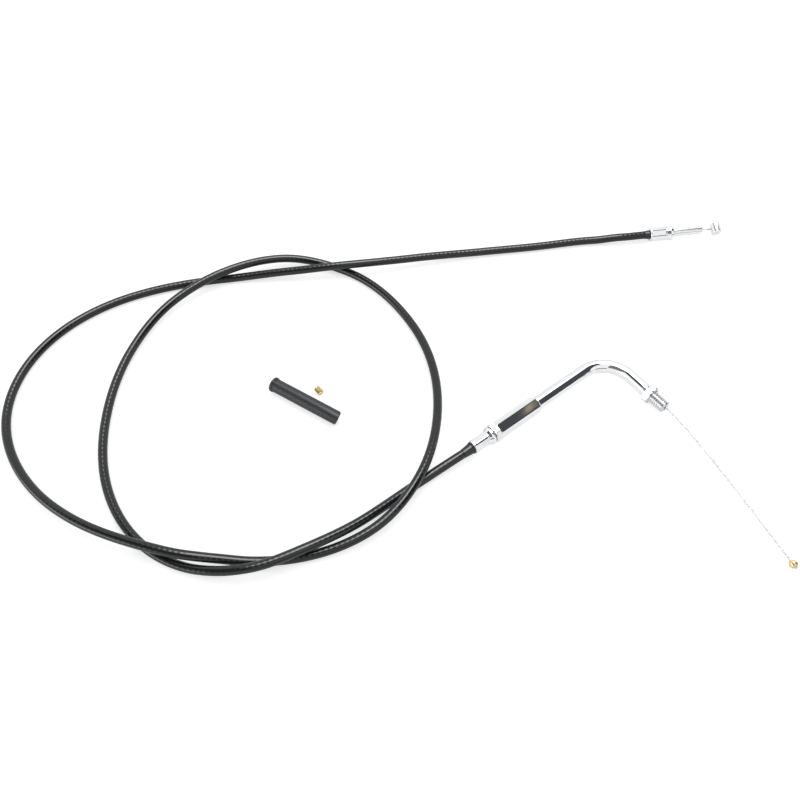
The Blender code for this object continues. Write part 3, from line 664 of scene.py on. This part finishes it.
ferrule = turned(rounded(CARB_FERRULE))
press_hexagon(ferrule, CARB_CRIMP_FLATS, CARB_CRIMP_CORNER, CARB_CRIMP_R, CARB_CRIMP_SPAN)
finish_piece("carb_crimp", to_mesh("carb_crimp", ferrule, carb_end, CRIMP_ANGLE), "cable_housing",
             ("carb_ferrule",), chrome)

finish_piece("carb_guide", to_mesh("carb_guide", turned(rounded(CARB_STEM)), carb_end), "cable_housing",
             ("carb_stem",), satin_nickel)

carb_line = [carb_end @ Vector((0, 0, CARB_WIRE_START + CARB_WIRE_LENGTH * k / CARB_WIRE_STEPS))
             for k in range(CARB_WIRE_STEPS + 1)]
finish_piece("carb_strand", strand_wire("carb_strand", carb_line), "carb_side_wire", ("carb_wire",),
             strand_steel)

across = carb_end @ Matrix.Translation((0, 0, NIPPLE_STATION)) @ Matrix.Rotation(-NIPPLE_TILT, 4, "Z")
across = across @ Matrix.Rotation(math.pi / 2, 4, "Y")
barrel = turned(rounded(NIPPLE), closed=False)
hole = bmesh.new()
bmesh.ops.create_cone(hole, cap_ends=True, segments=NIPPLE_HOLE_STEPS, radius1=NIPPLE_HOLE_R,
                      radius2=NIPPLE_HOLE_R, depth=NIPPLE_HOLE_LENGTH,
                      matrix=Matrix.Rotation(math.pi / 2, 4, "Y"))
finish_piece("nipple", to_mesh("nipple", cut(barrel, hole), across), "carb_side_wire", ("carb_nipple",),
             satin_nickel)

# Grip end: seal, crimped ferrule, screw, the two nuts and the hexagonal sleeve
finish_piece("grip_seal", to_mesh("grip_seal", turned(rounded(GRIP_SEAL)), grip_end), "cable_housing",
             ("grip_end_seal",), seal_rubber)

ferrule = turned(rounded(GRIP_FERRULE))
press_hexagon(ferrule, GRIP_CRIMP_FLATS, GRIP_CRIMP_CORNER, GRIP_CRIMP_R, GRIP_CRIMP_SPAN)
finish_piece("grip_crimp", to_mesh("grip_crimp", ferrule, grip_end, CRIMP_ANGLE), "cable_housing",
             ("grip_ferrule",), chrome)

screw = turned(rounded(SCREW), SCREW_STEPS)
cut_thread(screw, SCREW_R, SCREW_DEPTH, SCREW_PITCH, SCREW_SPAN)
finish_piece("adjuster_thread", to_mesh("adjuster_thread", screw, grip_end, SWEEP_ANGLE), "cable_housing",
             ("adjuster_screw",), bright_steel)


def nut(name, matrix, start, length, bore, body, node):
    """Hexagonal nut with both faces chamfered and its bore countersunk, measured in mm."""
    end = start + length
    blank = turned(rounded((
        (bore, start + NUT_SINK), (bore + NUT_SINK, start), (NUT_FACE_R, start, 0.1),
        (NUT_BLANK_R, start + NUT_CHAMFER), (NUT_BLANK_R, start + NUT_SUPPORT),
        (NUT_BLANK_R, end - NUT_SUPPORT), (NUT_BLANK_R, end - NUT_CHAMFER),
        (NUT_FACE_R, end, 0.1), (bore + NUT_SINK, end), (bore, end - NUT_SINK))), FINE_STEPS)
    press_hexagon(blank, NUT_FLATS, NUT_CORNER, NUT_FLATS / math.sqrt(3) - NUT_CORNER_WEAR)
    finish_piece(name, to_mesh(name, blank, matrix, HEXAGON_ANGLE), body, (node,),
                 bright_steel)


nut("locking_nut_detail", grip_end, 12.3, 3.9, 2.8, "locking_nut", "lock_nut")
nut("jamming_nut_detail", second_leg, 34.3, 4.3, 4.2, "jamming_nut", "jam_nut")

sleeve = turned(rounded(SLEEVE), FINE_STEPS)
press_hexagon(sleeve, SLEEVE_FLATS, SLEEVE_CORNER, SLEEVE_FLATS / math.sqrt(3) - SLEEVE_CORNER_WEAR)
finish_piece("hex_sleeve", to_mesh("hex_sleeve", sleeve, grip_end, HEXAGON_ANGLE), "sleeve",
             ("adjuster_sleeve",), chrome)

# Bent tube: straight legs and a fine bend, with a rounded lip at the threaded end
bend_start = CORNER_REACH - ELBOW_RADIUS * math.tan(ELBOW_TURN / 2)
tube_line = [Vector((0, 0, TUBE_START + u * MM)) for u in TUBE_FIRST_LEG]
for k in range(BEND_STEPS + 1):
    turn = ELBOW_TURN * k / BEND_STEPS
    side = ELBOW_RADIUS * (1 - math.cos(turn))
    tube_line.append(Vector((side, 0, bend_start + ELBOW_RADIUS * math.sin(turn))))
tube_swell = [1.0] * len(tube_line)
leg_way = Vector((math.sin(ELBOW_TURN), 0, math.cos(ELBOW_TURN)))
for u, swell in TUBE_SECOND_LEG:
    tube_line.append(Vector((0, 0, CORNER_REACH)) + leg_way * (u * MM))
    tube_swell.append(swell)
tube_line = [grip_end @ p for p in tube_line]
bent = finish_piece("bent_tube", swept("bent_tube", tube_line, TUBE_R, TUBE_RESOLUTION, tube_swell),
                    "elbow_section", ("elbow_tube",), chrome)
wall = bent.modifiers.new("wall", "SOLIDIFY")
wall.thickness = TUBE_WALL
wall.offset = -1.0

# Threaded end, its thread a true helix, with a chamfered tip
fitting = turned(rounded(FITTING), THREAD_STEPS)
cut_thread(fitting, THREAD_R, THREAD_DEPTH, THREAD_PITCH, THREAD_SPAN)
thread_mesh = to_mesh("thread_detail", fitting, second_leg, SWEEP_ANGLE)
mark_grooves(thread_mesh, second_leg, THREAD_R, THREAD_DEPTH, THREAD_START)
finish_piece("thread_detail", thread_mesh, "elbow_section", ("threaded_fitting",), zinc)

# Loose rubber boot, its far end cut at a slant, and loose slotted brass barrel
boot = turned(rounded(BOOT), THREAD_STEPS)
boot_cut = boot_axis.to_3x3().inverted() @ Vector(BOOT_CUT_WAY)
bmesh.ops.bisect_plane(boot, geom=boot.verts[:] + boot.edges[:] + boot.faces[:], dist=SAME_PLACE,
                       plane_co=(0, 0, BOOT_CUT_STATION), plane_no=boot_cut, clear_outer=True)
rim_edges = [e for e in boot.edges if e.is_boundary]
bmesh.ops.holes_fill(boot, edges=rim_edges)
outer_rim = [e for e in rim_edges if math.hypot(e.verts[0].co.x, e.verts[0].co.y) > BOOT_RIM_R]
bmesh.ops.bevel(boot, geom=outer_rim, offset=BOOT_RIM_BEVEL, offset_type="OFFSET", segments=4, profile=0.5,
                affect="EDGES", material=-1)
finish_piece("boot", to_mesh("boot", boot, boot_axis), "loose_boot", ("adjuster_boot",),
             boot_rubber)

spare = turned(rounded(SPARE), SMALL_STEPS, closed=False)
tool = bmesh.new()
bmesh.ops.create_cube(tool, size=1.0, matrix=Matrix.Translation(SPARE_SLOT_MIDDLE)
                      @ Matrix.Diagonal(SPARE_SLOT_SIZE))
finish_piece("loose_ferrule_detail", to_mesh("loose_ferrule_detail", cut(spare, tool), spare_axis),
             "loose_ferrule", ("spare_ferrule",), brass)

# CAD nodes that stay in place
for node, mat in (("swivel_neck", bright_steel), ("elbow_liner", liner_white), ("elbow_wire", strand_steel)):
    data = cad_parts[node].data
    data.materials.clear()
    data.materials.append(mat)

# Floor: pale and matt; it shows white to the camera and keeps a faint shadow
FLOOR_HALF = 6.0
FLOOR_GLOW = 0.56                      # lift seen by the camera, and by reflections
FLOOR_SHINE = 0.24
floor_mesh = bpy.data.meshes.new("floor")
floor_bm = bmesh.new()
bmesh.ops.create_grid(floor_bm, x_segments=4, y_segments=4, size=FLOOR_HALF)
floor_bm.to_mesh(floor_mesh)
floor_bm.free()
floor = bpy.data.objects.new("floor", floor_mesh)
scene.collection.objects.link(floor)
floor_mat, tree, shader, coords = new_material("pale_matt_floor")
speck = noise(tree, coords, 40.0, 2.0)
rays = add(tree, "ShaderNodeLightPath").outputs
shine = calculate(tree, "MULTIPLY", rays["Is Glossy Ray"], FLOOR_SHINE)
glow = calculate(tree, "MULTIPLY_ADD", rays["Is Camera Ray"], FLOOR_GLOW, shine)
shader.inputs["Roughness"].default_value = 0.9
shader.inputs["Specular IOR Level"].default_value = 0.0
shader.inputs["Emission Color"].default_value = (1.0, 1.0, 1.0, 1.0)
tree.links.new(blend(tree, speck, linear("e6e6e6"), linear("eaeaea")), shader.inputs["Base Color"])
tree.links.new(glow, shader.inputs["Emission Strength"])
floor_mesh.materials.append(floor_mat)

# World: a white tent. Reflections see a bright panel overhead and one low on the left, dark openings to the
# right and high on the left, a tan board in the right one, a dark strip low in front and a dim patch behind
# the camera. Directions are given by their own parts, or by how far they run to the east and to the north
# for each step up
TENT = (0.93, 0.94, 0.95)
TENT_LIGHT = (0.74, 0.745, 0.75)       # what the matt surfaces get
LEAST_RISE = 0.05
world = bpy.data.worlds.new("white_tent")
scene.world = world
world.use_nodes = True
tree = world.node_tree
tree.nodes.clear()
way = add(tree, "ShaderNodeSeparateXYZ", {0: add(tree, "ShaderNodeTexCoord").outputs["Generated"]}).outputs
rise = calculate(tree, "MAXIMUM", way["Z"], LEAST_RISE)
east = calculate(tree, "DIVIDE", way["X"], rise)
north = calculate(tree, "DIVIDE", way["Y"], rise)
lean = calculate(tree, "MULTIPLY_ADD", way["X"], 0.48, way["Y"])
tilt = calculate(tree, "MULTIPLY_ADD", east, -1.27, north)
total = calculate(tree, "ADD", east, north)


def window(*edges):
    """One inside all the edges, each given as (value, outside, inside)."""
    result = None
    for value, outside, inside in edges:
        part = add(tree, "ShaderNodeMapRange", {"Value": value, "From Min": outside, "From Max": inside},
                   interpolation_type="SMOOTHSTEP").outputs["Result"]
        result = part if result is None else calculate(tree, "MULTIPLY", result, part)
    return result


top_panel = window((east, -0.26, -0.12), (east, 0.40, 0.28), (north, -0.16, 0.04), (north, 0.74, 0.54))
side_panel = window((way["X"], -0.55, -0.75), (way["Y"], 0.15, -0.1), (way["Z"], 0.30, 0.16))
right_opening = window((east, 0.29, 0.34), (lean, -0.03, 0.01), (north, 0.40, 0.31), (way["Z"], 0.0, 0.03))
board = window((east, 0.668, 0.673), (tilt, -0.806, -0.799), (total, 0.766, 0.757))
left_opening = window((east, -1.26, -1.14), (east, -0.39, -0.45), (north, -0.5, -0.4), (north, 0.35, 0.25))
low_strip = window((way["X"], 0.02, 0.1), (way["X"], 0.72, 0.64), (way["Y"], -0.5, -0.6),
                   (way["Z"], 0.0, 0.02), (way["Z"], 0.24, 0.18))
front_patch = window((way["X"], -0.70, -0.62), (way["X"], 0.06, 0.0), (north, -0.18, -0.24),
                     (way["Z"], 0.36, 0.44))
seen = (*TENT, 1.0)
for mask, colour in (
        (top_panel, (7.5, 7.5, 7.6)), (side_panel, (5.0, 5.0, 5.1)), (right_opening, (0.058, 0.062, 0.07)),
        (board, (0.39, 0.335, 0.235)), (left_opening, (0.05, 0.05, 0.055)), (low_strip, (0.06, 0.06, 0.065)),
        (front_patch, (0.20, 0.185, 0.17))):
    seen = blend(tree, mask, seen, (*colour, 1.0))
rays = add(tree, "ShaderNodeLightPath").outputs
room = blend(tree, rays["Is Glossy Ray"], (*TENT_LIGHT, 1.0), seen)
backdrop = blend(tree, rays["Is Camera Ray"], room, (1.0, 1.0, 1.0, 1.0))
shade = add(tree, "ShaderNodeBackground", {"Color": backdrop, "Strength": 1.0})
add(tree, "ShaderNodeOutputWorld", {"Surface": shade.outputs[0]})

# Soft lamp overhead, a little behind the object, for the shading and the faint shadow
lamp_data = bpy.data.lights.new("overhead_softbox", "AREA")
lamp_data.shape = "RECTANGLE"
lamp_data.size = 0.6
lamp_data.size_y = 0.5
lamp_data.energy = 1.3
lamp = bpy.data.objects.new("overhead_softbox", lamp_data)
scene.collection.objects.link(lamp)
lamp.location = (0.03, 0.25, 0.95)
lamp.rotation_euler = (math.radians(-15), 0, 0)
